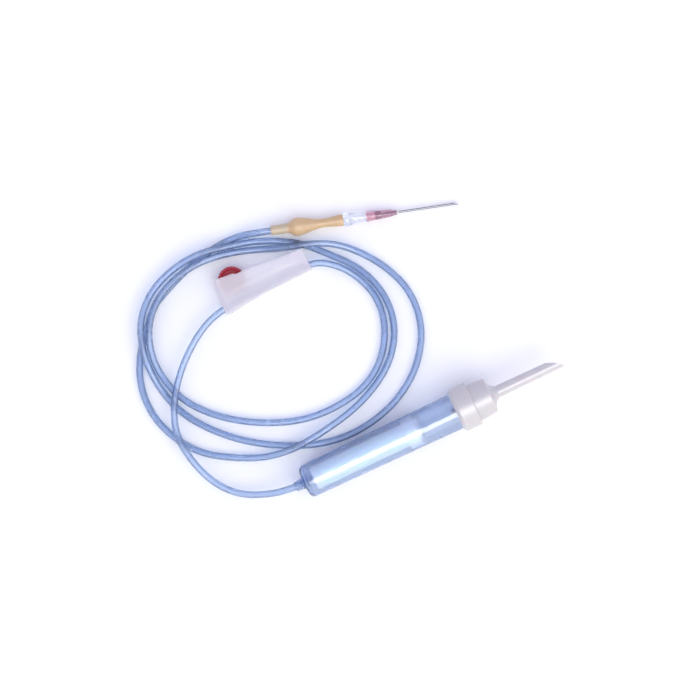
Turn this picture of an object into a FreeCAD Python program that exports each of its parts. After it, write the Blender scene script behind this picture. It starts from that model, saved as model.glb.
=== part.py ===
import FreeCAD, Part
import Sketcher
import math
import os

# Blood transfusion set lying loosely coiled on a table.
# World frame: +Z up, millimetres, the table is z = 0.
# Long pieces are drawn along their own axis, then laid down in place.

os.makedirs("parts", exist_ok=True)
V = FreeCAD.Vector
doc = FreeCAD.newDocument("transfusion_set")
sheet = doc.addObject("Spreadsheet::Sheet", "Sizes")

SIZES = [
    # delivery tube and the fit of its ends
    ("tube_r", "2.05"),
    ("tube_bore_r", "1.45"),
    ("tube_fit", "0.05"),
    ("socket_r", "=tube_r + tube_fit"),
    # drip chamber, measured along its axis from its floor
    ("chamber_x", "-49.81"),
    ("chamber_y", "-79.6"),
    ("chamber_turn", "25.4"),
    ("chamber_lift", "0.03"),
    ("chamber_r0", "10.1"),
    ("chamber_r1", "11.0"),
    ("chamber_len", "105.7"),
    ("wall", "1.0"),
    ("floor_t", "1.3"),
    ("edge_round", "3.5"),
    ("bore_r0", "=chamber_r0 - wall"),
    ("bore_r1", "=chamber_r1 - wall"),
    ("neck_s", "-6.0"),
    ("neck_tip_r", "=socket_r + 0.7"),
    ("neck_base_r", "=socket_r + 1.4"),
    ("outlet_s", "-1.0"),
    ("outlet_r", "=socket_r - 0.8"),
    # filter cage and its mesh sleeve inside the chamber
    ("press", "0.02"),
    ("cage_s0", "6.6"),
    ("mesh_len", "58.8"),
    ("collar_len", "8.8"),
    ("mesh_s0", "=cage_s0 + 1.6"),
    ("mesh_s1", "=mesh_s0 + mesh_len"),
    ("collar_s1", "=mesh_s1 + collar_len"),
    ("mesh_r", "7.15"),
    ("mesh_t", "0.25"),
    ("rib_r", "=mesh_r - mesh_t - press"),
    ("rib_depth", "1.3"),
    ("rib_in_r", "=rib_r - rib_depth"),
    ("rib_w", "1.4"),
    ("rib_half", "=rib_w / 2"),
    ("rib_low", "=-rib_half"),
    ("rib_s0", "=mesh_s0 - 0.4"),
    ("rib_len", "=mesh_s1 - mesh_s0 + 1"),
    ("mesh_in_r", "=mesh_r - mesh_t"),
    ("mesh_lo", "=mesh_s0 + press"),
    ("mesh_hi", "=mesh_s1 - press"),
    ("hoop_r", "=rib_r - 0.9"),
    ("hoop_h", "0.9"),
    ("hoop_a0", "=mesh_s0 + mesh_len * 0.24"),
    ("hoop_a1", "=hoop_a0 + hoop_h"),
    ("hoop_b0", "=mesh_s0 + mesh_len * 0.49"),
    ("hoop_b1", "=hoop_b0 + hoop_h"),
    ("hoop_c0", "=mesh_s0 + mesh_len * 0.745"),
    ("hoop_c1", "=hoop_c0 + hoop_h"),
    ("bore_slope", "=(chamber_r1 - chamber_r0) / chamber_len"),
    ("collar_r0", "=bore_r0 + bore_slope * mesh_s1 - press"),
    ("collar_edge_s", "=collar_s1 - 1.6"),
    ("collar_r1", "=bore_r0 + bore_slope * collar_edge_s - press"),
    ("collar_r2", "=collar_r1 - 1.5"),
    ("collar_in_r", "=mesh_r - 1.15"),
    # cap with the bag spike, one moulding
    ("skirt_depth", "6.0"),
    ("ring1_w", "9.9"),
    ("ring2_w", "11.1"),
    ("cap_s0", "=chamber_len - skirt_depth"),
    ("cap_s1", "=cap_s0 + 1.8"),
    ("cap_s2", "=cap_s1 + ring1_w"),
    ("cap_s3", "=cap_s2 + ring2_w"),
    ("cap_roof_s", "=chamber_len + press"),
    ("skirt_r0", "=chamber_r0 + bore_slope * cap_s0 + press"),
    ("skirt_r1", "=chamber_r1 + press"),
    ("lip_r", "=chamber_r1 + 0.6"),
    ("ring1_r", "=chamber_r1 + 2.6"),
    ("ring2_r0", "=chamber_r1 + 0.7"),
    ("ring2_r1", "=chamber_r1 - 0.2"),
    ("nozzle_s", "=cap_s0 - 2.9"),
    ("nozzle_r", "2.0"),
    ("nozzle_root_r", "2.4"),
    ("lumen_r", "1.5"),
    ("spike_len", "42.6"),
    ("shoulder_r1", "=spike_r0 + 2.9"),
    ("shoulder_s1", "=cap_s3 + 1.0"),
    ("shoulder_r2", "=spike_r0 + 1.0"),
    ("shoulder_s2", "=cap_s3 + 2.5"),
    ("spike_r0", "3.7"),
    ("spike_s0", "=cap_s3 + 4.8"),
    ("spike_r1", "3.25"),
    ("spike_s1", "=spike_s0 + spike_len"),
    ("bevel_x0", "=spike_r1 + 0.15"),
    ("bevel_s0", "=spike_s1 - 10.2"),
    ("bevel_x1", "=spike_r1 * 0.4"),
    ("bevel_s1", "=spike_s1 - 5.0"),
    ("bevel_x2", "=-spike_r1 * 0.43"),
    ("bevel_s2", "=spike_s1 - 1.4"),
    ("bevel_x3", "=-spike_r1 * 0.95"),
    ("bevel_s3", "=spike_s1 - 0.1"),
    ("bevel_far_x", "=spike_r1 + 3"),
    ("bevel_far_s", "=spike_s1 + 3"),
    ("bevel_w", "12.0"),
    # roller clamp, x along the housing, y from its floor to its open side
    ("clamp_x", "-75.51"),
    ("clamp_y", "40.5"),
    ("clamp_turn", "25.0"),
    ("clamp_w", "12.4"),
    ("clamp_half", "=clamp_w / 2"),
    ("clamp_wall_w", "11.2"),
    ("clamp_in_w", "8.4"),
    ("clamp_track_w", "11.0"),
    ("end_x0", "-27.9"),
    ("end_x1", "-24.6"),
    ("end_x2", "30.3"),
    ("end_x3", "29.8"),
    ("base_x1", "-5.9"),
    ("lip_x", "-27.0"),
    ("lip_y", "-9.7"),
    ("horn_x", "-26.3"),
    ("bevel_out_x", "-29.0"),
    ("bevel_in_x", "-23.8"),
    ("bevel_in_z", "2.2"),
    ("bevel_out_z", "6.4"),
    ("bevel_in_low", "=-bevel_in_z"),
    ("bevel_out_low", "=-bevel_out_z"),
    ("bevel_depth", "40.0"),
    ("foot_x", "-24.2"),
    ("base_y0", "-9.2"),
    ("base_y1", "-6.95"),
    ("base_y2", "-5.7"),
    ("left_y0", "-0.9"),
    ("left_y1", "13.4"),
    ("top_x0", "-23.0"),
    ("top_y0", "12.4"),
    ("top_x1", "-13.7"),
    ("top_y1", "11.7"),
    ("top_x2", "-11.7"),
    ("top_y2", "10.5"),
    ("top_x3", "-7.8"),
    ("top_y3", "10.8"),
    ("top_y4", "7.7"),
    ("inner_y0", "-7.1"),
    ("inner_y1", "-5.6"),
    ("inner_y2", "-4.6"),
    ("inner_top", "16.0"),
    ("inner_x2", "33.0"),
    ("door_w", "5.0"),
    ("door_x0", "-29.0"),
    ("door_x1", "-24.0"),
    ("door_y0", "-7.2"),
    ("door_y1", "-2.0"),
    # roller, its trunnions and the pair of inclined tracks
    ("roller_x", "-15.84"),
    ("roller_y", "8.58"),
    ("track_x", "21.6"),
    ("track_y", "4.56"),
    ("roller_r", "8.16"),
    ("roller_w", "7.4"),
    ("roller_half", "=roller_w / 2"),
    ("trunnion_r", "2.0"),
    ("trunnion_half", "5.35"),
    ("track_play", "0.08"),
    ("rail_x0", "-19.5"),
    ("rail_x1", "26.5"),
    ("rail_a0", "6.1"),
    ("rail_a1", "1.2"),
    ("rail_b0", "11.2"),
    ("rail_b1", "6.9"),
    ("foot_rail_x0", "-22.5"),
    ("foot_rail_a0", "-8.7"),
    ("foot_rail_a1", "-6.6"),
    ("foot_rail_a2", "-5.6"),
    ("foot_rail_b0", "-6.6"),
    ("foot_rail_b1", "-5.0"),
    ("foot_rail_b2", "-3.9"),
    ("dish_depth", "1.1"),
    ("dish_y", "=roller_half - dish_depth"),
    ("dish_r0", "3.2"),
    ("dish_r1", "6.0"),
    ("dish_r2", "6.7"),
    ("dish_low", "=-dish_y"),
    ("roller_low", "=-roller_half"),
    ("trunnion_low", "=-trunnion_half"),
    ("rim_r", "=roller_r - 0.5"),
    ("rim_y", "=roller_half - 0.5"),
    ("rim_low", "=-rim_y"),
    ("notch_depth", "0.55"),
    ("notch_half", "0.62"),
    ("notch_low", "=-notch_half"),
    ("notch_w", "10.0"),
    ("notch_root_r", "=roller_r - notch_depth"),
    ("notch_top_r", "=roller_r + 0.3"),
    # latex injection bulb, measured along its axis from the sleeve end
    ("bulb_x", "-70.21"),
    ("bulb_y", "71.3"),
    ("bulb_turn", "8.5"),
    ("bulb_lift", "0.07"),
    ("belly_r", "5.45"),
    ("belly_u", "15.6"),
    ("bulb_len", "44.0"),
    ("stem_len", "9.0"),
    ("grip_len", "13.4"),
    ("sleeve_depth", "10.0"),
    ("sleeve_r", "=socket_r + 0.85"),
    ("stem_bore_r", "2.2"),
    ("waist_r", "2.65"),
    ("mouth_r", "3.5"),
    ("sleeve_lead", "6.4"),
    ("neck_lead", "9.2"),
    # connector with its male luer taper
    ("luer_bore_r", "0.8"),
    ("stem_u0", "=bulb_len - stem_len"),
    ("stem_u1", "=stem_u0 + 1.2"),
    ("stem_tip_r", "=stem_r - 0.35"),
    ("stem_r", "=stem_bore_r - tube_fit"),
    ("grip_u0", "=bulb_len + press"),
    ("grip_r0", "3.4"),
    ("grip_u1", "=bulb_len + 1.4"),
    ("grip_r1", "4.2"),
    ("grip_u2", "=bulb_len + 2.6"),
    ("grip_u3", "=bulb_len + 5.0"),
    ("grip_r3", "3.35"),
    ("grip_u4", "=bulb_len + 7.4"),
    ("grip_r4", "3.0"),
    ("grip_u5", "=bulb_len + grip_len"),
    ("grip_r5", "2.45"),
    ("luer_r0", "2.17"),
    ("luer_len", "7.0"),
    ("luer_u1", "=grip_u5 + luer_len"),
    ("luer_taper", "0.03"),
    ("luer_r1", "=luer_r0 - luer_taper * luer_len"),
    # needle: hub, steel cannula and the glue bead
    ("hub_len", "18.5"),
    ("cannula_len", "38.1"),
    ("root_play", "0.035"),
    ("hub_u0", "=grip_u5 + 0.6"),
    ("hub_u1", "=hub_u0 + hub_len"),
    ("hub_r0", "=luer_r0 + 0.93"),
    ("hub_rim_u", "=hub_u0 + 1.3"),
    ("hub_neck_u", "=hub_rim_u + 0.6"),
    ("hub_r1", "=luer_r0 + 0.58"),
    ("hub_u2", "=hub_u0 + hub_len * 0.46"),
    ("hub_r2", "=luer_r0 + 0.33"),
    ("hub_u3", "=hub_u0 + hub_len * 0.757"),
    ("hub_r3", "=cannula_r + 1.315"),
    ("hub_r4", "=cannula_r + 0.865"),
    ("hub_sock_r0", "=luer_r0 - luer_taper * (hub_u0 - grip_u5) + press"),
    ("hub_sock_u1", "=hub_u0 + luer_len + 1.0"),
    ("hub_sock_r1", "=luer_r0 - luer_taper * (hub_sock_u1 - grip_u5) + press"),
    ("hub_well_u", "=hub_sock_u1 + 1.2"),
    ("hub_rib_half", "0.35"),
    ("hub_rib_w", "=hub_rib_half * 2"),
    ("hub_rib_x1", "=hub_r1 - 0.45"),
    ("hub_rib_x2", "=hub_r1 + 0.25"),
    ("hub_rib_u1", "=hub_u0 + hub_len * 0.843"),
    ("hub_rib_x3", "=hub_r3 + 0.05"),
    ("hub_rib_x4", "=hub_r3 - 0.45"),
    ("cannula_r", "0.635"),
    ("cannula_bore_r", "0.42"),
    ("cannula_u0", "=hub_well_u + 0.3"),
    ("cannula_u1", "=hub_u1 + cannula_len"),
    ("root_r", "=cannula_r - root_play"),
    ("root_u", "=hub_u1 + 1.7"),
    ("cannula_hole_r", "=cannula_r + press"),
    ("tip_len", "3.0"),
    ("tip_u", "=cannula_u1 - tip_len"),
    ("tip_half", "=cannula_r + 0.02"),
    ("tip_low", "=-tip_half"),
    ("tip_far_x", "=tip_half + 1"),
    ("tip_far", "=cannula_u1 + 1"),
    ("bead_u0", "=hub_u1 + press"),
    ("bead_u1", "=hub_u1 + 0.65"),
    ("bead_u2", "=hub_u1 + 1.2"),
    ("bead_r0", "=cannula_r + 0.715"),
    ("bead_r1", "=cannula_r + 0.465"),
    ("bead_r2", "=cannula_r + 0.165"),
]
for row, (word, content) in enumerate(SIZES, 1):
    sheet.set("A%d" % row, word)
    sheet.set("B%d" % row, content)
    sheet.setAlias("B%d" % row, word)
doc.recompute()


def size(word):
    return 0.0 if word == "0" else float(sheet.get(word))


def outlines(body, name, plane, loops, offset=None):
    """A sketch of closed outlines whose corners are held by the sheet."""
    sk = body.newObject("Sketcher::SketchObject", name)
    base = [f for f in body.Origin.OriginFeatures if f.Role == plane][0]
    sk.AttachmentSupport = [(base, "")]
    sk.MapMode = "FlatFace"
    if offset:
        sk.setExpression("AttachmentOffset.Base.z", "Sizes." + offset)
    first = 0
    for loop in loops:
        at = [V(size(a), size(b), 0) for a, b in loop]
        n = len(at)
        for i in range(n):
            sk.addGeometry(Part.LineSegment(at[i], at[(i + 1) % n]), False)
        for i in range(n):
            sk.addConstraint(Sketcher.Constraint("Coincident", first + i, 2, first + (i + 1) % n, 1))
        for i, (a, b) in enumerate(loop):
            for word, kind, axis in ((a, "DistanceX", -2), (b, "DistanceY", -1)):
                if word == "0":
                    sk.addConstraint(Sketcher.Constraint("PointOnObject", first + i, 1, axis))
                else:
                    k = sk.addConstraint(Sketcher.Constraint(kind, -1, 1, first + i, 1, size(word)))
                    sk.setExpression("Constraints[%d]" % k, "Sizes." + word)
        first += n
    return sk


def turned(body, name, loops):
    """Material revolved about the local Z axis; outlines are (radius, height)."""
    sk = outlines(body, name + "_outline", "XZ_Plane", loops)
    f = body.newObject("PartDesign::Revolution", name)
    f.Profile = sk
    f.ReferenceAxis = (sk, ["V_Axis"])
    f.Angle = 360
    doc.recompute()
    return f


def slab(body, kind, name, plane, loops, width, offset=None, both=True):
    """A pad or pocket of the outlines, to both sides of their plane or to one."""
    sk = outlines(body, name + "_outline", plane, loops, offset)
    f = body.newObject("PartDesign::" + kind, name)
    f.Profile = sk
    if both:
        f.SideType = "Symmetric"
    f.setExpression("Length", "Sizes." + width)
    doc.recompute()
    return f


def around(body, name, feature, count):
    """The feature repeated evenly about the local Z axis."""
    f = body.newObject("PartDesign::PolarPattern", name)
    f.Originals = [feature]
    f.Axis = ([a for a in body.Origin.OriginFeatures if a.Role == "Z_Axis"][0], [""])
    f.Angle = 360
    f.Occurrences = count
    body.Tip = f
    doc.recompute()
    return f


def rings(shape, radius, height):
    """Names of the circular edges of that radius and height on the local Z axis."""
    found = []
    for i, e in enumerate(shape.Edges, 1):
        if e.Curve.TypeId == "Part::GeomCircle":
            c = e.Curve
            if abs(c.Radius - radius) < 0.02 and abs(c.Center.z - height) < 0.02:
                found.append("Edge%d" % i)
    return found


def rounded(body, name, kind, places, radius):
    """A fillet or chamfer on the ring edges at (radius, height)."""
    base = body.Tip
    names = []
    for r, z in places:
        names += rings(base.Shape, size(r), size(z))
    f = body.newObject("PartDesign::" + kind, name)
    f.Base = (base, names)
    if kind == "Fillet":
        f.Radius = radius
    else:
        f.Size = radius
    doc.recompute()
    return f


def new_body(label):
    b = doc.addObject("PartDesign::Body", label)
    b.Label = label
    return b


# Drip chamber: soft clear moulding, slightly conical, with a rounded floor and an outlet neck.
chamber = new_body("drip_chamber")
turned(chamber, "chamber_wall", [[
    ("outlet_r", "outlet_s"), ("socket_r", "outlet_s"), ("socket_r", "neck_s"), ("neck_tip_r", "neck_s"),
    ("neck_base_r", "0"), ("chamber_r0", "0"), ("chamber_r1", "chamber_len"), ("bore_r1", "chamber_len"),
    ("bore_r0", "floor_t"), ("outlet_r", "floor_t")]])
rounded(chamber, "chamber_edge", "Fillet", [("chamber_r0", "0")], size("edge_round"))
rounded(chamber, "chamber_floor_edge", "Fillet", [("bore_r0", "floor_t")],
    size("edge_round") - size("wall"))

# Filter cage: closed foot, four ribs, three hoops and the collar pressed into the chamber bore.
cage = new_body("filter_frame")
turned(cage, "cage_foot", [[("0", "cage_s0"), ("mesh_r", "cage_s0"), ("mesh_r", "mesh_s0"), ("0",
    "mesh_s0")]])
rib = slab(cage, "Pad", "cage_rib", "XY_Plane", [[
    ("rib_in_r", "rib_low"), ("rib_r", "rib_low"), ("rib_r", "rib_half"), ("rib_in_r", "rib_half")]],
    "rib_len", "rib_s0", False)
around(cage, "cage_ribs", rib, 4)
turned(cage, "cage_hoops", [
    [("hoop_r", "hoop_a0"), ("rib_r", "hoop_a0"), ("rib_r", "hoop_a1"), ("hoop_r", "hoop_a1")],
    [("hoop_r", "hoop_b0"), ("rib_r", "hoop_b0"), ("rib_r", "hoop_b1"), ("hoop_r", "hoop_b1")],
    [("hoop_r", "hoop_c0"), ("rib_r", "hoop_c0"), ("rib_r", "hoop_c1"), ("hoop_r", "hoop_c1")],
    [("collar_in_r", "mesh_s1"), ("collar_r0", "mesh_s1"), ("collar_r1", "collar_edge_s"),
     ("collar_r2", "collar_s1"), ("collar_in_r", "collar_s1")]])

# Filter mesh: fine nylon sleeve welded round the cage between its foot and its collar.
mesh = new_body("filter_mesh")
turned(mesh, "mesh_sleeve", [[
    ("mesh_in_r", "mesh_lo"), ("mesh_r", "mesh_lo"), ("mesh_r", "mesh_hi"), ("mesh_in_r", "mesh_hi")]])

# Cap and bag spike: one hard moulding with a skirt over the chamber, two grip rings,
# a drop nozzle inside and a long hollow spike cut to a slanting point.
cap = new_body("spike_cap")
turned(cap, "cap_turning", [[
    ("lumen_r", "nozzle_s"), ("nozzle_r", "nozzle_s"), ("nozzle_root_r", "cap_roof_s"), ("skirt_r1",
    "cap_roof_s"),
    ("skirt_r0", "cap_s0"), ("lip_r", "cap_s0"), ("ring1_r", "cap_s1"), ("ring1_r", "cap_s2"),
    ("ring2_r0", "cap_s2"),
    ("ring2_r1", "cap_s3"), ("shoulder_r1", "shoulder_s1"), ("shoulder_r2", "shoulder_s2"), ("spike_r0",
    "spike_s0"),
    ("spike_r1", "spike_s1"), ("lumen_r", "spike_s1")]])
rounded(cap, "cap_edges", "Fillet", [("ring1_r", "cap_s1"), ("ring1_r", "cap_s2"), ("ring2_r1",
    "cap_s3")], 0.7)
uncut = cap.Shape.Volume
slab(cap, "Pocket", "spike_bevel", "XZ_Plane", [[
    ("bevel_x0", "bevel_s0"), ("bevel_x1", "bevel_s1"), ("bevel_x2", "bevel_s2"), ("bevel_x3", "bevel_s3"),
    ("bevel_x3", "bevel_far_s"), ("bevel_far_x", "bevel_far_s"), ("bevel_far_x", "bevel_s0")]], "bevel_w")
print("spike bevel removes mm3", round(uncut - cap.Shape.Volume, 1))

# Clamp housing: open trough with two side walls, a sloping floor, an end wall with a doorway
# for the tube, raised rails outside and inclined tracks for the roller's trunnions inside.
housing = new_body("clamp_housing")
slab(housing, "Pad", "housing_block", "XY_Plane", [[
    ("end_x0", "left_y0"), ("lip_x", "lip_y"), ("foot_x", "base_y0"), ("base_x1", "base_y1"), ("end_x2",
    "base_y2"),
    ("end_x3", "top_y4"), ("top_x3", "top_y3"), ("top_x2", "top_y2"), ("top_x1", "top_y1"), ("top_x0",
    "top_y0"),
    ("horn_x", "left_y1")]],
    "clamp_wall_w")
slab(housing, "Pad", "housing_rails", "XY_Plane", [
    [("rail_x0", "rail_a0"), ("rail_x1", "rail_a1"), ("rail_x1", "rail_b1"), ("rail_x0", "rail_b0")],
    [("foot_rail_x0", "foot_rail_a0"), ("0", "foot_rail_a1"), ("end_x2", "foot_rail_a2"),
     ("end_x2", "foot_rail_b2"), ("0", "foot_rail_b1"), ("foot_rail_x0", "foot_rail_b0")]], "clamp_w")
slab(housing, "Pocket", "housing_trough", "XY_Plane", [[
    ("end_x1", "inner_y0"), ("0", "inner_y1"), ("inner_x2", "inner_y2"), ("inner_x2", "inner_top"),
    ("end_x1", "inner_top")]], "clamp_in_w")
slab(housing, "Pocket", "housing_door", "XY_Plane", [[
    ("door_x0", "door_y0"), ("door_x1", "door_y0"), ("door_x1", "door_y1"), ("door_x0", "door_y1")]],
    "door_w")

uncut = housing.Shape.Volume
slab(housing, "Pocket", "housing_end_bevels", "XZ_Plane", [
    [("bevel_out_x", "bevel_in_z"), ("bevel_in_x", "bevel_out_z"), ("bevel_out_x", "bevel_out_z")],
    [("bevel_out_x", "bevel_in_low"), ("bevel_in_x", "bevel_out_low"), ("bevel_out_x", "bevel_out_low")]],
        "bevel_depth")
print("end bevels remove mm3", round(uncut - housing.Shape.Volume, 1))

# The two tracks are one slot with round ends, cut from the middle into both walls.
run = math.hypot(size("track_x") - size("roller_x"), size("track_y") - size("roller_y"))
slope = math.atan2(size("track_y") - size("roller_y"), size("track_x") - size("roller_x"))
slot_r = size("trunnion_r") + size("track_play")
sk = housing.newObject("Sketcher::SketchObject", "track_outline")
sk.AttachmentSupport = [([f for f in housing.Origin.OriginFeatures if f.Role == "XY_Plane"][0], "")]
sk.MapMode = "FlatFace"
ends = [V(size("roller_x"), size("roller_y"), 0), V(size("track_x"), size("track_y"), 0)]
side = V(-math.sin(slope), math.cos(slope), 0) * slot_r
half_turn = math.pi / 2
axis_z = V(0, 0, 1)
sk.addGeometry(Part.LineSegment(ends[0] - side, ends[1] - side), False)
sk.addGeometry(Part.ArcOfCircle(Part.Circle(ends[1], axis_z, slot_r), slope - half_turn,
    slope + half_turn), False)
sk.addGeometry(Part.LineSegment(ends[1] + side, ends[0] + side), False)
sk.addGeometry(Part.ArcOfCircle(Part.Circle(ends[0], axis_z, slot_r), slope + half_turn,
    slope - half_turn), False)
for a, pa, b, pb in ((0, 2, 1, 1), (1, 2, 2, 1), (2, 2, 3, 1), (3, 2, 0, 1)):
    sk.addConstraint(Sketcher.Constraint("Tangent", a, pa, b, pb))
k = sk.addConstraint(Sketcher.Constraint("Radius", 1, slot_r))
sk.setExpression("Constraints[%d]" % k, "Sizes.trunnion_r + Sizes.track_play")
for arc, words in ((3, ("roller_x", "roller_y")), (1, ("track_x", "track_y"))):
    for word, kind in zip(words, ("DistanceX", "DistanceY")):
        k = sk.addConstraint(Sketcher.Constraint(kind, -1, 1, arc, 3, size(word)))
        sk.setExpression("Constraints[%d]" % k, "Sizes." + word)
tracks = housing.newObject("PartDesign::Pocket", "housing_tracks")
tracks.Profile = sk
tracks.SideType = "Symmetric"
tracks.setExpression("Length", "Sizes.clamp_track_w")
doc.recompute()
print("roller travel mm", round(run, 2), "slope deg", round(math.degrees(slope), 2))

# Clamp roller: dished thumb wheel with a notched rim and a trunnion on each side.
roller = new_body("clamp_roller")
turned(roller, "roller_turning", [[
    ("0", "trunnion_low"), ("trunnion_r", "trunnion_low"), ("trunnion_r", "dish_low"), ("dish_r0",
    "dish_low"),
    ("dish_r1", "dish_low"), ("dish_r2", "roller_low"), ("rim_r", "roller_low"), ("roller_r", "rim_low"),
    ("roller_r", "rim_y"), ("rim_r", "roller_half"), ("dish_r2", "roller_half"), ("dish_r1", "dish_y"),
    ("dish_r0", "dish_y"), ("trunnion_r", "dish_y"), ("trunnion_r", "trunnion_half"), ("0",
    "trunnion_half")]])
notch = slab(roller, "Pocket", "roller_notch", "XY_Plane", [[
    ("notch_root_r", "0"), ("notch_top_r", "notch_low"), ("notch_top_r", "notch_half")]], "notch_w")
around(roller, "roller_notches", notch, 24)

# Connector: stem inside the bulb, waisted grip and the male luer taper.
connector = new_body("luer_connector")
turned(connector, "connector_turning", [[
    ("luer_bore_r", "stem_u0"), ("stem_tip_r", "stem_u0"), ("stem_r", "stem_u1"), ("stem_r", "grip_u0"),
    ("grip_r0", "grip_u0"), ("grip_r1", "grip_u1"), ("grip_r1", "grip_u2"), ("grip_r3", "grip_u3"),
    ("grip_r4", "grip_u4"), ("grip_r5", "grip_u5"), ("luer_r0", "grip_u5"), ("luer_r1", "luer_u1"),
    ("luer_bore_r", "luer_u1")]])

# Needle hub: female luer socket behind a rim, four grip ribs on the cone.
hub = new_body("needle_hub")
turned(hub, "hub_turning", [[
    ("hub_sock_r0", "hub_u0"), ("hub_r0", "hub_u0"), ("hub_r0", "hub_rim_u"), ("hub_r1", "hub_neck_u"),
    ("hub_r2", "hub_u2"), ("hub_r3", "hub_u3"), ("hub_r4", "hub_u1"), ("cannula_hole_r", "hub_u1"),
    ("cannula_hole_r", "hub_well_u"), ("hub_sock_r1", "hub_sock_u1")]])
fin = slab(hub, "Pad", "hub_fin", "XZ_Plane", [[
    ("hub_rib_x1", "hub_neck_u"), ("hub_rib_x2", "hub_neck_u"), ("hub_rib_x3", "hub_rib_u1"),
    ("hub_rib_x4", "hub_rib_u1")]], "hub_rib_w")
around(hub, "hub_fins", fin, 4)

# Cannula: stainless tube, its root swaged slightly in where it is glued into the hub,
# ground to a slanting point.
cannula = new_body("needle_cannula")
turned(cannula, "cannula_tube", [[
    ("cannula_bore_r", "cannula_u0"), ("root_r", "cannula_u0"), ("cannula_r", "root_u"),
    ("cannula_r", "cannula_u1"), ("cannula_bore_r", "cannula_u1")]])
uncut = cannula.Shape.Volume
slab(cannula, "Pocket", "cannula_point", "XZ_Plane", [[
    ("tip_half", "tip_u"), ("tip_low", "cannula_u1"), ("tip_low", "tip_far"), ("tip_far_x", "tip_far"),
    ("tip_far_x", "tip_u")]], "bevel_w")
print("cannula point removes mm3", round(uncut - cannula.Shape.Volume, 3))

# Glue bead closing the hub round the cannula.
bead = new_body("hub_adhesive")
turned(bead, "bead_turning", [[
    ("cannula_hole_r", "bead_u0"), ("bead_r0", "bead_u0"), ("bead_r1", "bead_u1"), ("bead_r2", "bead_u2"),
    ("cannula_hole_r", "bead_u2")]])

# Latex injection bulb: hollow dipped teat, drawn as smooth curves turned about its axis.
def smooth(points):
    curve = Part.BSplineCurve()
    curve.interpolate([V(r, 0, u) for r, u in points])
    return curve.toShape()


def straight(points):
    return [Part.LineSegment(V(a[0], 0, a[1]), V(b[0], 0, b[1])).toShape() for a, b in zip(points,
        points[1:])]


sleeve_r = size("sleeve_r")
belly_u = size("belly_u")
belly_r = size("belly_r")
depth = size("sleeve_depth")
socket_r = size("socket_r")
bore = size("outlet_r")
end_u = size("bulb_len")
stem_r = size("stem_bore_r")
waist_r = size("waist_r")
mouth_r = size("mouth_r")
skin = [
    (sleeve_r, depth), (sleeve_r + 0.4, depth + 1.5), (belly_r - 0.75, belly_u - 2.2), (belly_r, belly_u),
    (belly_r - 0.15, belly_u + 2.4), (belly_r - 0.9, belly_u + 5.9), (belly_r - 1.8, belly_u + 9.4),
    (waist_r + 0.3, end_u - 15.5), (waist_r, end_u - 12.2), (waist_r + 0.2, end_u - 8.5),
    (mouth_r - 0.25, end_u - 5.0), (mouth_r, end_u - 1.8)]
inside = [
    (bore, depth + 1.6), (belly_r - 2.25, belly_u - 2.3), (belly_r - 1.0, belly_u), (belly_r - 1.2,
    belly_u + 2.6),
    (belly_r - 1.95, belly_u + 6.0), (belly_r - 2.85, belly_u + 9.6), (waist_r - 0.75, end_u - 15.4),
    (waist_r - 0.9, end_u - 12.4), (stem_r, end_u - 9.4)]
edges = [smooth(skin), smooth(inside)]
edges += straight([skin[-1], (mouth_r - 0.25, end_u), (stem_r, end_u), inside[-1]])
edges += straight([inside[0], (bore, depth), (socket_r, depth), (socket_r, 0), (sleeve_r - 0.2, 0)])
edges += straight([(sleeve_r - 0.2, 0), (sleeve_r, 1.2), skin[0]])
profile = Part.Face(Part.Wire(Part.__sortEdges__(edges)))
bulb = doc.addObject("Part::Feature", "latex_bulb")
bulb.Label = "latex_bulb"
bulb.Shape = profile.revolve(V(0, 0, 0), V(0, 0, 1), 360)

# Laying down. The chamber rests on its rounded floor edge and on the first cap ring.
def laid(x, y, z, turn, tilt):
    a = math.radians(turn)
    axis = V(math.cos(a) * math.cos(tilt), math.sin(a) * math.cos(tilt), math.sin(tilt))
    across = V(-math.sin(a), math.cos(a), 0)
    return FreeCAD.Placement(V(x, y, z), FreeCAD.Rotation(across, axis.cross(across), axis, "ZXY"))


reach = size("ring1_r") - size("chamber_r0") + size("edge_round")
span = size("cap_s1") + 0.4 - size("edge_round")
tilt = math.acos(size("edge_round") / math.hypot(reach, span)) - math.atan2(span, reach)
rest_z = (size("chamber_r0") - size("edge_round")) * math.cos(tilt)
rest_z += size("edge_round") * (1 - math.sin(tilt))
rest_z += size("chamber_lift")
chamber_place = laid(size("chamber_x"), size("chamber_y"), rest_z, size("chamber_turn"), tilt)
for b in (chamber, cage, mesh, cap):
    b.Placement = chamber_place

# The needle end rests on the belly of the bulb and on the grip of the connector.
drop = (size("belly_r") - size("grip_r1")) / (size("grip_u2") - belly_u)
dip = -math.asin(drop)
bulb_z = belly_r * math.cos(dip) + belly_u * math.sin(-dip) + size("bulb_lift")
needle_place = laid(size("bulb_x"), size("bulb_y"), bulb_z, size("bulb_turn"), dip)
for b in (bulb, connector, hub, cannula, bead):
    b.Placement = needle_place

# The clamp lies flat on its rails.
clamp_place = FreeCAD.Placement(
    V(size("clamp_x"), size("clamp_y"), size("clamp_half")), FreeCAD.Rotation(V(0, 0, 1),
        size("clamp_turn")))
housing.Placement = clamp_place
roller.Placement = clamp_place * FreeCAD.Placement(V(size("roller_x"), size("roller_y"), 0),
    FreeCAD.Rotation())
doc.recompute()

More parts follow.
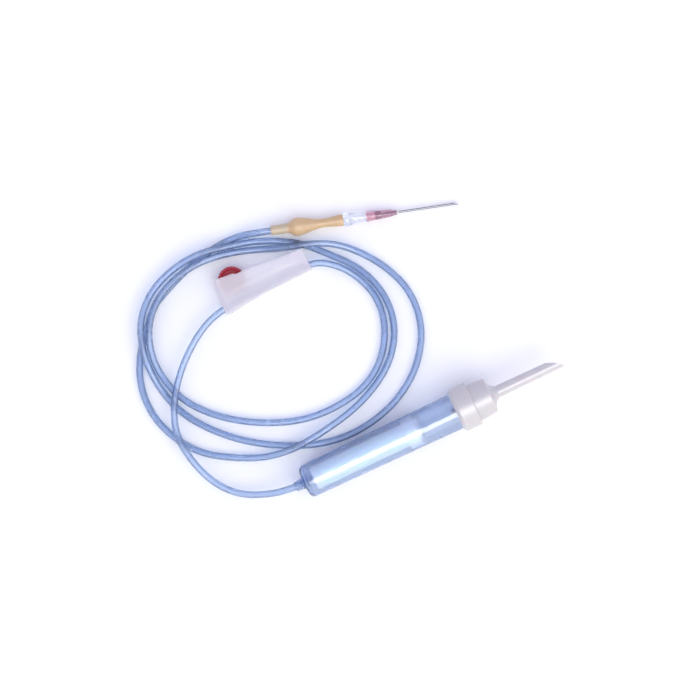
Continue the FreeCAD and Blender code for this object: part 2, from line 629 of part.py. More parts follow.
# Delivery tube: soft extrusion lying in three loose turns, crossing itself on low humps.
# The route is a chain of chosen points; straight runs are joined by tangent arcs.
ROUTE = [
    (-71.9, -87.0, 7.0), (-88.7, -87.3, 4.8), (-104.0, -80.7, 4.8), (-116.6, -68.4, 6.4), (-126.8, -52.5,
    6.8),
    (-128.6, -35.7, 6.8), (-126.2, -18.9, 6.8), (-119.6, -1.2, 6.5), (-110.0, 14.4, 6.1), (-99.2, 24.1,
    6.2),
    (-72.8, 38.4, 6.2), (-46.3, 52.6, 6.2), (-31.8, 51.2, 4.8), (-18.1, 44.2, 2.6), (-6.4, 31.9, 2.2),
    (-1.1, 14.7, 2.2), (-3.2, -5.1, 2.2), (-12.8, -21.9, 2.2), (-29.3, -34.2, 2.2), (-49.7, -42.6, 2.2),
    (-71.9, -44.7, 2.2), (-93.5, -42.6, 2.2), (-112.7, -36.6, 2.2), (-127.1, -27.6, 2.2), (-139.0, -12.2,
    3.4),
    (-143.5, 3.3, 6.3), (-143.0, 18.9, 6.6), (-136.1, 33.9, 6.6), (-123.5, 46.2, 6.6), (-109.7, 53.8, 6.4),
    (-94.0, 58.3, 3.5), (-79.1, 60.2, 2.2), (-65.3, 60.7, 3.6), (-55.1, 62.2, 6.6), (-44.3, 63.7, 6.6),
    (-31.1, 63.6, 4.0), (-15.5, 58.3, 2.2), (0.7, 48.6, 2.2), (13.6, 35.1, 2.2), (20.2, 17.7, 2.2),
    (20.2, 0.3, 2.2), (14.2, -18.3, 2.2), (1.3, -35.7, 2.2), (-17.9, -49.8, 2.2), (-39.5, -57.3, 2.2),
    (-62.3, -58.2, 2.2), (-84.5, -55.8, 2.2), (-104.9, -49.2, 2.2), (-122.3, -39.9, 2.2), (-135.0, -27.0,
    2.3),
    (-144.2, -10.6, 4.8), (-148.0, 4.4, 7.1), (-148.4, 19.5, 6.3), (-141.5, 36.3, 4.9), (-127.1, 50.1, 5.6),
    (-111.8, 58.1, 7.1), (-97.1, 61.5, 5.9), (-82.7, 65.0, 2.3), (-67.1, 65.6, 2.2), (-51.5, 63.9, 2.2),
    (-35.9, 57.6, 2.2), (-18.9, 50.3, 2.2), (-5.1, 38.3, 2.2), (3.8, 20.7, 2.2), (4.0, 0.9, 2.2),
    (-3.8, -17.7, 2.2), (-20.0, -36.3, 2.9), (-42.5, -51.9, 6.7), (-57.5, -60.3, 6.7), (-74.3, -65.4, 2.8),
    (-93.5, -65.4, 2.2), (-112.1, -62.7, 2.2), (-128.9, -53.4, 2.2), (-142.1, -39.6, 2.2), (-149.2, -21.9,
    2.2),
    (-149.6, -4.4, 2.2), (-145.2, 11.7, 2.2), (-141.2, 25.5, 2.2), (-132.5, 36.3, 2.2), (-120.5, 48.7, 2.2),
    (-106.8, 59.9, 2.2), (-91.7, 67.9, 2.2),
]
route = [chamber_place.multVec(V(0, 0, size("outlet_s"))), chamber_place.multVec(V(0, 0,
    -size("neck_lead")))]
route += [V(*p) for p in ROUTE]
route += [needle_place.multVec(V(0, 0, -size("sleeve_lead"))), needle_place.multVec(V(0, 0, depth))]
runs = [(b - a).Length for a, b in zip(route, route[1:])]
edges = []
radii = []
start = route[0]
for i in range(1, len(route) - 1):
    before = (route[i] - route[i - 1]).normalize()
    after = (route[i + 1] - route[i]).normalize()
    turn = math.acos(max(-1.0, min(1.0, before.dot(after))))
    cut = 0.45 * min(runs[i - 1], runs[i])
    radius = cut / math.tan(turn / 2)
    enter = route[i] - before * cut
    leave = route[i] + after * cut
    inward = (after - before).normalize()
    middle = route[i] + inward * (radius / math.cos(turn / 2) - radius)
    edges.append(Part.LineSegment(start, enter).toShape())
    edges.append(Part.Arc(enter, middle, leave).toShape())
    radii.append((round(radius, 1), i))
    start = leave
edges.append(Part.LineSegment(start, route[-1]).toShape())
path = Part.Wire(edges)
along = (route[1] - route[0]).normalize()


def swept(radius):
    ring = Part.Wire(Part.Circle(route[0], along, radius).toShape())
    return path.makePipeShell([ring], True, False)


tube_shape = swept(size("tube_r")).cut(swept(size("tube_bore_r")))
tube = doc.addObject("Part::Feature", "delivery_tube")
tube.Label = "delivery_tube"
tube.Shape = tube_shape
section = math.pi * (size("tube_r") ** 2 - size("tube_bore_r") ** 2)
print("tube length mm", round(path.Length, 1), "runs", round(sum(runs), 1), "points", len(route))
print("tube volume over section times length", round(tube_shape.Volume / (section * path.Length), 4))
print("smallest bend radii mm", sorted(radii)[:6])
print("runs mm", round(min(runs), 1), "to", round(max(runs), 1))

# Every object is sound before anything is written.
doc.recompute()
for obj in doc.Objects:
    if "Invalid" in obj.State or "Error" in obj.State:
        raise RuntimeError("%s is %s" % (obj.Label, obj.State))
PARTS = [chamber, cage, mesh, cap, tube, housing, roller, bulb, connector, hub, cannula, bead]
whole = FreeCAD.BoundBox()
for obj in PARTS:
    shape = obj.Shape
    if not shape.isValid() or len(shape.Solids) != 1:
        raise RuntimeError("%s is not one sound solid" % obj.Label)
    box = shape.optimalBoundingBox()
    if obj is not tube:
        whole.add(box)
    print("%-16s x %.1f..%.1f y %.1f..%.1f z %.2f..%.2f volume %.0f" % (
        obj.Label, box.XMin, box.XMax, box.YMin, box.YMax, box.ZMin, box.ZMax, shape.Volume))
    shape.exportStep("parts/%s.step" % obj.Label)
print("box without tube: centre %.3f %.3f, size %.2f %.2f %.2f, floor %.3f" % (
    whole.Center.x, whole.Center.y, whole.XLength, whole.YLength, whole.ZLength, whole.ZMin))
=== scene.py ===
import math

import bmesh
import bpy
from mathutils import Matrix, Vector


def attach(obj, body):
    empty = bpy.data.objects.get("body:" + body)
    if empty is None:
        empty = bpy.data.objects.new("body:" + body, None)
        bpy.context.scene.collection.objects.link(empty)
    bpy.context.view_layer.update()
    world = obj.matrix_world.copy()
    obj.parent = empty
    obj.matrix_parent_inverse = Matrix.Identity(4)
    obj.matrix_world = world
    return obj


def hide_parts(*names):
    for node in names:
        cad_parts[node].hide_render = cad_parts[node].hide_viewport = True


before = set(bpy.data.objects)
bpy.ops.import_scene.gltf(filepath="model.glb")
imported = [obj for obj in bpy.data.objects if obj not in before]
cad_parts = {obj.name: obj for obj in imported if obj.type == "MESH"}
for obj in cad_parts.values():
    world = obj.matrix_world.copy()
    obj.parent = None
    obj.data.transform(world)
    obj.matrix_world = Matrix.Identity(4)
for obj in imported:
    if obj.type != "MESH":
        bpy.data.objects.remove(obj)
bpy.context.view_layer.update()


# Studio: the set lies on a white laminate table top under a large soft key light from the
# lower right, with a cool violet side to the surroundings at the upper left. A second softbox
# is seen only in reflections. The camera looks straight down.
def linear(code):
    parts = [int(code[i:i + 2], 16) / 255 for i in (1, 3, 5)]
    return tuple(p / 12.92 if p <= 0.04045 else ((p + 0.055) / 1.055) ** 2.4 for p in parts) + (1.0,)


def add(tree, kind, links=None, **settings):
    new = tree.nodes.new(kind)
    for word, value in settings.items():
        setattr(new, word, value)
    for word, value in (links or {}).items():
        if isinstance(value, bpy.types.NodeSocket):
            tree.links.new(value, new.inputs[word])
        else:
            new.inputs[word].default_value = value
    return new


def mixed(tree, factor, first, second):
    mix = add(tree, "ShaderNodeMix", {"Factor": factor, "A": first, "B": second}, data_type="RGBA")
    return mix.outputs["Result"]


def noise(tree, size_mm, detail):
    """Soft noise with features about size_mm across, fixed to the piece."""
    spot = add(tree, "ShaderNodeTexCoord")
    cloud = add(tree, "ShaderNodeTexNoise", {
        "Vector": spot.outputs["Object"], "Scale": 1000.0 / size_mm, "Detail": detail})
    return cloud.outputs["Fac"]


def bump(tree, height, strength, depth):
    relief = add(tree, "ShaderNodeBump", {"Height": height, "Strength": strength, "Distance": depth})
    return relief.outputs["Normal"]


def finish(name):
    made = bpy.data.materials.new(name)
    made.use_nodes = True
    made.node_tree.nodes.clear()
    return made, made.node_tree


def cover(tree, settings, volume=None):
    """Closes a material with a Principled surface and, if given, a volume inside it."""
    skin = add(tree, "ShaderNodeBsdfPrincipled", settings)
    ends = {"Surface": skin.outputs["BSDF"]}
    if volume:
        ends["Volume"] = volume.outputs["Volume"]
    add(tree, "ShaderNodeOutputMaterial", ends)


def shown(name, shell):
    mesh = bpy.data.meshes.new(name)
    shell.to_mesh(mesh)
    shell.free()
    piece = bpy.data.objects.new(name, mesh)
    bpy.context.scene.collection.objects.link(piece)
    return piece


# Laminate: matt white, with a relief too fine to see beyond softening the light.
laminate, tree = finish("table_laminate_white")
cover(tree, {
    "Base Color": linear("#fdfdfe"), "Roughness": 0.75, "Specular IOR Level": 0.2,
    "Normal": bump(tree, noise(tree, 3.55, 3.0), 0.05, 0.0001)})
TABLE_HALF = 1.6
sheet = bmesh.new()
bmesh.ops.create_grid(sheet, x_segments=2, y_segments=2, size=TABLE_HALF)
table_top = shown("table_top", sheet)
table_top.data.materials.append(laminate)

EYE = Vector((-0.0227, -0.0003, 1.006))
VIEW_WIDTH_AT_1_M = 0.42
FILM_MM = 36.0
lens = bpy.data.cameras.new("photo_view")
lens.sensor_width = FILM_MM
lens.lens = FILM_MM / VIEW_WIDTH_AT_1_M
lens.clip_start = 0.05
camera = bpy.data.objects.new("photo_view", lens)
camera.location = EYE
bpy.context.scene.collection.objects.link(camera)
bpy.context.scene.camera = camera
bpy.context.scene.view_settings.view_transform = "Standard"

# Surroundings: white all round but for a violet patch on the upper left, which gives the
# clear plastics their cool side. The camera itself sees a plain pale backdrop.
COOL_SIDE = (-0.43, 0.90, 0.05)
SURROUND_STRENGTH = 1.32
air = bpy.data.worlds.new("studio_air")
air.use_nodes = True
tree = air.node_tree
tree.nodes.clear()
direction = add(tree, "ShaderNodeTexCoord")
side = add(tree, "ShaderNodeVectorMath", {0: direction.outputs["Generated"], 1: COOL_SIDE},
           operation="DOT_PRODUCT")
share = add(tree, "ShaderNodeMapRange", {
    "Value": side.outputs["Value"], "From Min": -1.0, "From Max": 1.0})
tone = add(tree, "ShaderNodeValToRGB", {"Fac": share.outputs["Result"]})
tone.color_ramp.elements[0].color = linear("#ffffff")
tone.color_ramp.elements[1].color = linear("#ffffff")
for place, colour in ((0.50, "#ffffff"), (0.60, "#c6c9e6"), (0.75, "#797dbd")):
    tone.color_ramp.elements.new(place).color = linear(colour)
ray = add(tree, "ShaderNodeLightPath")
backdrop = mixed(tree, ray.outputs["Is Camera Ray"], tone.outputs["Color"], linear("#eff1f6"))
glow = add(tree, "ShaderNodeBackground", {"Color": backdrop, "Strength": SURROUND_STRENGTH})
add(tree, "ShaderNodeOutputWorld", {"Surface": glow.outputs["Background"]})
bpy.context.scene.world = air

key_light = bpy.data.lights.new("key_softbox", "AREA")
key_light.shape = "SQUARE"
key_light.size = 0.5
key_light.energy = 1.3
key_light.color = linear("#fffdf8")[:3]
key = bpy.data.objects.new("key_softbox", key_light)
key.location = (0.45, -0.55, 0.75)
KEY_TARGET = Vector((-0.02, 0.0, 0.0))
key.rotation_euler = (KEY_TARGET - key.location).to_track_quat("-Z", "Y").to_euler()
bpy.context.scene.collection.objects.link(key)

# The highlight softbox lies parallel to the chamber, so its reflection runs along it.
highlight_light = bpy.data.lights.new("highlight_softbox", "AREA")
highlight_light.shape = "RECTANGLE"
highlight_light.size = 0.9
highlight_light.size_y = 0.66
highlight_light.energy = 25.0
highlight = bpy.data.objects.new("highlight_softbox", highlight_light)
highlight.location = (0.24, -0.42, 1.22)
highlight.rotation_euler = (0.0, 0.0, math.radians(25.4))
highlight.visible_diffuse = False
highlight.visible_transmission = False
highlight.visible_camera = False
bpy.context.scene.collection.objects.link(highlight)

# Delivery tube: soft vinyl extruded as a clear bluish tube, 4.1 mm outside and 2.9 mm inside,
# 1.53 m long. It is glued in the chamber's outlet, threads the clamp and ends in the latex
# sleeve. ROUTE repeats the part's source, with the two points at each end written out.
TUBE_R = 0.00205
TUBE_BORE_R = 0.00145
STEPS_PER_POINT = 8
RING_STEPS = 9
ROUTE = [
    (-0.0507, -0.0800, 0.00997), (-0.0581, -0.0835, 0.00968), (-0.0719, -0.0870, 0.007),
    (-0.0887, -0.0873, 0.0048), (-0.1040, -0.0807, 0.0048), (-0.1166, -0.0684, 0.0064),
    (-0.1268, -0.0525, 0.0068), (-0.1286, -0.0357, 0.0068), (-0.1262, -0.0189, 0.0068),
    (-0.1196, -0.0012, 0.0065), (-0.1100, 0.0144, 0.0061), (-0.0992, 0.0241, 0.0062),
    (-0.0728, 0.0384, 0.0062), (-0.0463, 0.0526, 0.0062), (-0.0318, 0.0512, 0.0048),
    (-0.0181, 0.0442, 0.0026), (-0.0064, 0.0319, 0.0022), (-0.0011, 0.0147, 0.0022),
    (-0.0032, -0.0051, 0.0022), (-0.0128, -0.0219, 0.0022), (-0.0293, -0.0342, 0.0022),
    (-0.0497, -0.0426, 0.0022), (-0.0719, -0.0447, 0.0022), (-0.0935, -0.0426, 0.0022),
    (-0.1127, -0.0366, 0.0022), (-0.1271, -0.0276, 0.0022), (-0.1390, -0.0122, 0.0034),
    (-0.1435, 0.0033, 0.0063), (-0.1430, 0.0189, 0.0066), (-0.1361, 0.0339, 0.0066),
    (-0.1235, 0.0462, 0.0066), (-0.1097, 0.0538, 0.0064), (-0.0940, 0.0583, 0.0035),
    (-0.0791, 0.0602, 0.0022), (-0.0653, 0.0607, 0.0036), (-0.0551, 0.0622, 0.0066),
    (-0.0443, 0.0637, 0.0066), (-0.0311, 0.0636, 0.004), (-0.0155, 0.0583, 0.0022),
    (0.0007, 0.0486, 0.0022), (0.0136, 0.0351, 0.0022), (0.0202, 0.0177, 0.0022),
    (0.0202, 0.0003, 0.0022), (0.0142, -0.0183, 0.0022), (0.0013, -0.0357, 0.0022),
    (-0.0179, -0.0498, 0.0022), (-0.0395, -0.0573, 0.0022), (-0.0623, -0.0582, 0.0022),
    (-0.0845, -0.0558, 0.0022), (-0.1049, -0.0492, 0.0022), (-0.1223, -0.0399, 0.0022),
    (-0.1350, -0.0270, 0.0023), (-0.1442, -0.0106, 0.0048), (-0.1480, 0.0044, 0.0071),
    (-0.1484, 0.0195, 0.0063), (-0.1415, 0.0363, 0.0049), (-0.1271, 0.0501, 0.0056),
    (-0.1118, 0.0581, 0.0071), (-0.0971, 0.0615, 0.0059), (-0.0827, 0.0650, 0.0023),
    (-0.0671, 0.0656, 0.0022), (-0.0515, 0.0639, 0.0022), (-0.0359, 0.0576, 0.0022),
    (-0.0189, 0.0503, 0.0022), (-0.0051, 0.0383, 0.0022), (0.0038, 0.0207, 0.0022),
    (0.0040, 0.0009, 0.0022), (-0.0038, -0.0177, 0.0022), (-0.0200, -0.0363, 0.0029),
    (-0.0425, -0.0519, 0.0067), (-0.0575, -0.0603, 0.0067), (-0.0743, -0.0654, 0.0028),
    (-0.0935, -0.0654, 0.0022), (-0.1121, -0.0627, 0.0022), (-0.1289, -0.0534, 0.0022),
    (-0.1421, -0.0396, 0.0022), (-0.1492, -0.0219, 0.0022), (-0.1496, -0.0044, 0.0022),
    (-0.1452, 0.0117, 0.0022), (-0.1412, 0.0255, 0.0022), (-0.1325, 0.0363, 0.0022),
    (-0.1205, 0.0487, 0.0022), (-0.1068, 0.0599, 0.0022), (-0.0917, 0.0679, 0.0022),
    (-0.0765, 0.0704, 0.0064), (-0.0603, 0.0727, 0.00574),
]
drawn = bpy.data.curves.new("tube_route", "CURVE")
drawn.dimensions = "3D"
drawn.resolution_u = STEPS_PER_POINT
line = drawn.splines.new("NURBS")
line.points.add(len(ROUTE) - 1)
for knot, (x, y, z) in zip(line.points, ROUTE):
    knot.co = (x, y, z, 1.0)
line.order_u = 3
line.use_endpoint_u = True
route_curve = bpy.data.objects.new("tube_route", drawn)
followed = bpy.data.meshes.new_from_object(route_curve)

drawn.bevel_depth = TUBE_R
drawn.bevel_resolution = RING_STEPS
outer_wall = bpy.data.meshes.new_from_object(route_curve)
bpy.data.objects.remove(route_curve)
hose = bmesh.new()
hose.from_mesh(outer_wall)
bpy.data.meshes.remove(outer_wall)
bmesh.ops.remove_doubles(hose, verts=hose.verts[:], dist=1e-6)
bmesh.ops.recalc_face_normals(hose, faces=hose.faces[:])
bmesh.ops.solidify(hose, geom=hose.faces[:], thickness=TUBE_R - TUBE_BORE_R)
for face in hose.faces:
    face.smooth = True
delivery_tube = shown("vinyl_tube", hose)


def between(tree, value, low, high):
    spread = add(tree, "ShaderNodeMapRange", {"Value": value, "To Min": low, "To Max": high})
    return spread.outputs["Result"]


# Extruded soft vinyl: a soft gloss whose haze changes slowly along it, and a blue that
# deepens with the depth of plastic that the eye looks through.
tube_vinyl, tree = finish("vinyl_extruded_blue_clear")
haze = noise(tree, 16.7, 1.0)
tint = add(tree, "ShaderNodeVolumeAbsorption", {"Color": (0.07, 0.34, 0.64, 1.0), "Density": 490.0})
cover(tree, {
    "Base Color": linear("#eef3ff"), "Roughness": between(tree, haze, 0.22, 0.32), "IOR": 1.52,
    "Transmission Weight": 0.95, "Alpha": 0.7, "Normal": bump(tree, haze, 0.02, 0.0002)}, tint)
delivery_tube.data.materials.append(tube_vinyl)
set_body = "set"
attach(delivery_tube, set_body)
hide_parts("delivery_tube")


# Drip chamber: blow-moulded soft clear vinyl, 1 mm wall, slightly conical, its rounded floor
# drawn out into the outlet neck that holds the tube. The open end is glued in the cap's skirt.
def laid(x, y, z, turn, tilt):
    """Puts the local Z axis at a turn in the table's plane and a tilt above it."""
    axis = Vector((math.cos(turn) * math.cos(tilt), math.sin(turn) * math.cos(tilt), math.sin(tilt)))
    across = Vector((-math.sin(turn), math.cos(turn), 0.0))
    up = axis.cross(across)
    place = Matrix((across, up, axis)).transposed().to_4x4()
    place.translation = (x, y, z)
    return place


def turned(name, outline, place, steps):
    """A closed outline of (radius, height, rounding) in mm, spun round the local Z axis."""
    shell = bmesh.new()
    corners = [shell.verts.new((radius / 1000, 0.0, height / 1000)) for radius, height, _ in outline]
    for a, b in zip(corners, corners[1:] + corners[:1]):
        shell.edges.new((a, b))
    for corner, (_, _, rounding) in zip(corners, outline):
        if rounding:
            bmesh.ops.bevel(shell, geom=[corner], offset=rounding / 1000, segments=6, profile=0.5,
                            affect="VERTICES", material=-1)
    bmesh.ops.spin(shell, geom=shell.verts[:] + shell.edges[:], cent=(0, 0, 0), axis=(0, 0, 1),
                   angle=math.tau, steps=steps, use_merge=True)
    bmesh.ops.remove_doubles(shell, verts=shell.verts[:], dist=1e-7)
    bmesh.ops.recalc_face_normals(shell, faces=shell.faces[:])
    bmesh.ops.transform(shell, matrix=place, verts=shell.verts[:])
    piece = shown(name, shell)
    piece.data.shade_smooth()
    piece.data.set_sharp_from_angle(angle=math.radians(35))
    return piece


CHAMBER_TURN = math.radians(25.4)
CHAMBER_TILT = math.radians(2.0358)
chamber_place = laid(-0.04981, -0.0796, 0.0100015, CHAMBER_TURN, CHAMBER_TILT)
chamber = turned("chamber_shell", [
    (1.3, -1.0, 0.0), (2.1, -1.0, 0.0), (2.1, -6.0, 0.0), (2.8, -6.0, 0.2), (3.5, 0.0, 0.5),
    (10.1, 0.0, 3.2), (11.0, 105.7, 0.2), (10.0, 105.7, 0.2), (9.1, 1.3, 2.3), (1.3, 1.3, 0.3)],
    chamber_place, 128)

# Clear vinyl, blow moulded: very smooth, long faint waves in the wall that bend what lies
# behind it, pale blue through its depth.
chamber_vinyl, tree = finish("vinyl_moulded_blue_clear")
tint = add(tree, "ShaderNodeVolumeAbsorption", {"Color": (0.18, 0.44, 0.84, 1.0), "Density": 290.0})
cover(tree, {
    "Base Color": linear("#ffffff"), "Roughness": 0.05, "IOR": 1.52, "Transmission Weight": 1.0,
    "Alpha": 0.88, "Normal": bump(tree, noise(tree, 11.1, 1.0), 0.3, 0.0003)}, tint)
chamber.data.materials.append(chamber_vinyl)
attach(chamber, set_body)
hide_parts("drip_chamber")


# Filter cage: natural polypropylene, moulded in one with its foot, ribs, hoops and collar,
# and pushed up the chamber until the collar grips the bore.
def dress(node, made):
    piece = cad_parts[node]
    if not piece.material_slots:
        piece.data.materials.append(made)
    for place in piece.material_slots:
        place.material = made


# Natural polypropylene: a waxy bluish white, faintly cloudy, with soft edges to its shadows.
cage_plastic, tree = finish("polypropylene_natural_moulded")
shade = mixed(tree, noise(tree, 3.85, 2.0), linear("#f6f8fd"), linear("#ffffff"))
cover(tree, {
    "Base Color": shade, "Roughness": 0.38, "IOR": 1.49, "Subsurface Weight": 0.2,
    "Subsurface Scale": 0.001})
dress("filter_frame", cage_plastic)

# Filter mesh: white nylon monofilament cloth, welded to a sleeve and slipped over the cage,
# between the foot and the collar. Its threads are 0.2 mm apart in truth and drawn 0.5 mm
# apart so that they show.
THREAD_PITCH = 0.0005
# A wave texture of scale 1 draws this many bands to the metre.
BANDS_PER_METRE = 20.0 / math.tau
thread_scale = 1.0 / (THREAD_PITCH * BANDS_PER_METRE)

# Woven nylon: a matt white with the fine grid of its threads in colour and relief.
nylon_cloth, tree = finish("nylon_woven_white")
spot = add(tree, "ShaderNodeTexCoord")
along_chamber = add(tree, "ShaderNodeMapping", {
    "Vector": spot.outputs["Object"], "Rotation": (0.0, 0.0, -CHAMBER_TURN)})
warp, weft = [
    add(tree, "ShaderNodeTexWave", {
        "Vector": along_chamber.outputs["Vector"], "Scale": thread_scale, "Distortion": 0.0},
        wave_type="BANDS", bands_direction=way_of_thread)
    for way_of_thread in ("X", "Z")]
threads = add(tree, "ShaderNodeMath", {0: warp.outputs["Fac"], 1: weft.outputs["Fac"]}, operation="MAXIMUM")
shade = mixed(tree, threads.outputs["Value"], linear("#eef2fb"), linear("#ffffff"))
cover(tree, {
    "Base Color": shade, "Roughness": 0.55, "IOR": 1.53, "Sheen Weight": 0.2, "Subsurface Weight": 0.3,
    "Subsurface Scale": 0.001, "Normal": bump(tree, threads.outputs["Value"], 0.3, 0.0001)})
dress("filter_mesh", nylon_cloth)

# Cap and bag spike: one white ABS moulding with two grip rings, glued over the open end of
# the chamber. Its long slanting spike is pushed into the blood bag.

# Moulded ABS: satin warm grey-white, with the mould's fine 0.25 mm spark grain.
abs_white, tree = finish("abs_moulded_white")
grain = noise(tree, 0.25, 2.0)
shade = mixed(tree, noise(tree, 8.33, 2.0), linear("#c3bfc2"), linear("#cecacb"))
cover(tree, {
    "Base Color": shade, "Roughness": between(tree, grain, 0.3, 0.45), "IOR": 1.54,
    "Subsurface Weight": 0.25, "Subsurface Scale": 0.002, "Normal": bump(tree, grain, 0.06, 0.0001)})
dress("spike_cap", abs_white)

# Clamp housing: milky polypropylene trough moulded round two inclined tracks, and threaded on
# the tube. It is thin enough for the roller to glow through.
CLAMP_CENTRE = (-0.07551, 0.0405, 0.0062)
CLAMP_TURN = math.radians(25.0)
RAIL_OFF_MIDDLE = 0.0021
RAIL_HALF_INNER = 0.0003
RAIL_HALF_OUTER = 0.0019
RAIL_FULL_TO = 0.016
RAIL_GONE_AT = 0.023


def faded(tree, distance, near, far):
    """1 up to the distance near and 0 beyond far."""
    fall = add(tree, "ShaderNodeMapRange", {
        "Value": distance, "From Min": near, "From Max": far, "To Min": 1.0, "To Max": 0.0})
    return fall.outputs["Result"]


# Milky polypropylene: half see-through and faintly cloudy, with a painted highlight along it:
# a paler band over the raised rail, standing in for the light the rail catches.
milky, tree = finish("polypropylene_milky_moulded")
spot = add(tree, "ShaderNodeTexCoord")
centred = add(tree, "ShaderNodeVectorMath", {0: spot.outputs["Object"], 1: CLAMP_CENTRE},
              operation="SUBTRACT")
along_clamp = add(tree, "ShaderNodeMapping", {
    "Vector": centred.outputs["Vector"], "Rotation": (0.0, 0.0, -CLAMP_TURN)})
local = add(tree, "ShaderNodeSeparateXYZ", {"Vector": along_clamp.outputs["Vector"]})
off_rail = add(tree, "ShaderNodeMath", {0: local.outputs["Y"], 1: RAIL_OFF_MIDDLE}, operation="SUBTRACT")
from_rail = add(tree, "ShaderNodeMath", {0: off_rail.outputs["Value"]}, operation="ABSOLUTE")
from_middle = add(tree, "ShaderNodeMath", {0: local.outputs["X"]}, operation="ABSOLUTE")
# Painted highlight: a paler band along the raised rail, fading out towards the clamp's ends.
rail_highlight = add(tree, "ShaderNodeMath", {
    0: faded(tree, from_rail.outputs["Value"], RAIL_HALF_INNER, RAIL_HALF_OUTER),
    1: faded(tree, from_middle.outputs["Value"], RAIL_FULL_TO, RAIL_GONE_AT)}, operation="MULTIPLY")
cloud = noise(tree, 5.56, 3.0)
shade = mixed(tree, cloud, linear("#e9e5ef"), linear("#f3f0f6"))
cover(tree, {
    "Base Color": mixed(tree, rail_highlight.outputs["Value"], shade, linear("#f8f5fb")), "Roughness": 0.42,
    "IOR": 1.49, "Transmission Weight": 0.1, "Alpha": 0.5, "Subsurface Weight": 0.2,
    "Subsurface Scale": 0.002, "Normal": bump(tree, cloud, 0.1, 0.0002)})
dress("clamp_housing", milky)

# Roller: crimson ABS thumb wheel with 24 notches round its rim, moulded in one with the two
# trunnions that ride in the clamp's tracks.

# Moulded crimson ABS: dull satin, with faint flow marks in its red.
crimson, tree = finish("abs_moulded_crimson")
shade = mixed(tree, noise(tree, 3.33, 2.0), linear("#931429"), linear("#a81a34"))
cover(tree, {"Base Color": shade, "Roughness": 0.5, "IOR": 1.54, "Specular IOR Level": 0.25})
dress("clamp_roller", crimson)

# Latex bulb: dipped natural rubber, its narrow sleeve stretched over the tube's end and its
# wide end over the connector's stem. Drugs are injected through its wall.
NEEDLE_TURN = math.radians(8.5)
NEEDLE_DROP_MM = 1.25
NEEDLE_DROP_OVER_MM = 31.0
NEEDLE_DIP = -math.asin(NEEDLE_DROP_MM / NEEDLE_DROP_OVER_MM)
needle_place = laid(-0.07021, 0.0713, 0.0061446, NEEDLE_TURN, NEEDLE_DIP)
SLEEVE_END_MM = 10.0


def along_needle(tree, edge, soft):
    """0 before the place edge (mm from the sleeve's end) and 1 after it."""
    spot = add(tree, "ShaderNodeTexCoord")
    from_end = add(tree, "ShaderNodeVectorMath", {
        0: spot.outputs["Object"], 1: needle_place.translation}, operation="SUBTRACT")
    reach = add(tree, "ShaderNodeVectorMath", {
        0: from_end.outputs["Vector"], 1: needle_place.col[2][:3]}, operation="DOT_PRODUCT")
    step = add(tree, "ShaderNodeMapRange", {
        "Value": reach.outputs["Value"], "From Min": (edge - soft) / 1000, "From Max": (edge + soft) / 1000})
    return step.outputs["Result"]


# Dipped latex: mottled satin amber with a powdery bloom, paler where the sleeve is stretched.
latex, tree = finish("natural_latex_dipped")
mottle = noise(tree, 4.55, 4.0)
amber = mixed(tree, mottle, linear("#c3a27a"), linear("#d8ba90"))
cover(tree, {
    "Base Color": mixed(tree, along_needle(tree, SLEEVE_END_MM, 0.6), linear("#c3b296"), amber),
    "Roughness": 0.5, "IOR": 1.52, "Subsurface Weight": 0.35, "Subsurface Scale": 0.002,
    "Sheen Weight": 0.15, "Normal": bump(tree, mottle, 0.2, 0.0002)})
dress("latex_bulb", latex)

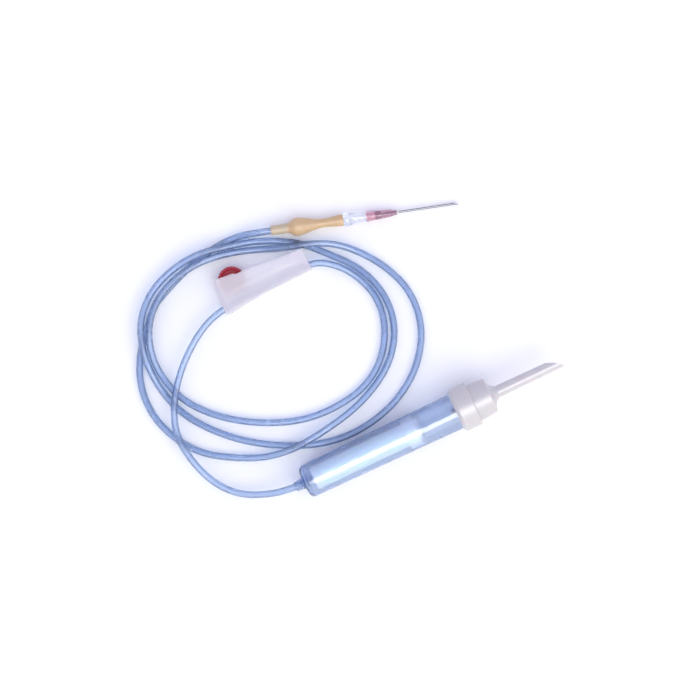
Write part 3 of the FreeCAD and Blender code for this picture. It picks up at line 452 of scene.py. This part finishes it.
# Luer connector: clear hard plastic, injection moulded, its stem gripped by the latex and
# its male taper filling the first part of the hub.
connector = turned("connector_shell", [
    (0.8, 35.0, 0.0), (1.8, 35.0, 0.2), (2.15, 36.2, 0.2), (2.15, 44.02, 0.0), (3.4, 44.02, 0.2),
    (4.2, 45.4, 0.5), (4.2, 46.6, 0.5), (3.35, 49.0, 0.8), (3.0, 51.4, 0.8), (2.45, 57.4, 0.2),
    (2.17, 57.4, 0.0), (1.96, 64.4, 0.15), (0.8, 64.4, 0.0)], needle_place, 64)

# Moulded acrylic: glass-clear and glossy, with slight flow waves that break up its highlights.
clear_hard, tree = finish("acrylic_moulded_clear")
flow = noise(tree, 2.86, 2.0)
tint = add(tree, "ShaderNodeVolumeAbsorption", {"Color": linear("#dfe5f5"), "Density": 60.0})
cover(tree, {
    "Base Color": linear("#fafbff"), "Roughness": between(tree, flow, 0.05, 0.12), "IOR": 1.49,
    "Transmission Weight": 1.0, "Normal": bump(tree, flow, 0.1, 0.0002)}, tint)
connector.data.materials.append(clear_hard)
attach(connector, set_body)
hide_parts("luer_connector")

# Needle hub: pink polypropylene, moulded with four grip ribs on its cone and a female luer
# socket behind, which is pressed on the connector's taper. Pink marks an 18 gauge needle.
HUB_TAPER_END_MM = 63.2

# Translucent pink polypropylene: paler over the clear taper inside it, deeper beyond, with a
# gloss that varies a little.
pink, tree = finish("polypropylene_pink_translucent")
shade = mixed(tree, along_needle(tree, HUB_TAPER_END_MM, 0.4), linear("#f4c6d6"), linear("#c596ae"))
cover(tree, {
    "Base Color": shade, "Roughness": between(tree, noise(tree, 2.0, 2.0), 0.15, 0.28), "IOR": 1.49,
    "Transmission Weight": 0.8, "Alpha": 0.85})
dress("needle_hub", pink)

# Cannula: stainless steel tube, drawn to 18 gauge, ground to a slanting point and glued in
# the hub.

# Drawn stainless steel: a dull grey sheen, slightly uneven from polishing.
steel, tree = finish("stainless_drawn")
cover(tree, {
    "Base Color": linear("#77787f"), "Roughness": between(tree, noise(tree, 0.667, 2.0), 0.35, 0.5),
    "Metallic": 1.0})
dress("needle_cannula", steel)

# Glue bead: a drop of acrylic glue cured round the cannula where it enters the hub.

# Cured glue: shiny and slightly milky, with faint clouds.
glue, tree = finish("acrylic_glue_cured")
shade = mixed(tree, noise(tree, 0.667, 2.0), linear("#efebe9"), linear("#fcfaf8"))
cover(tree, {"Base Color": shade, "Roughness": 0.2, "IOR": 1.49, "Transmission Weight": 0.4})
dress("hub_adhesive", glue)
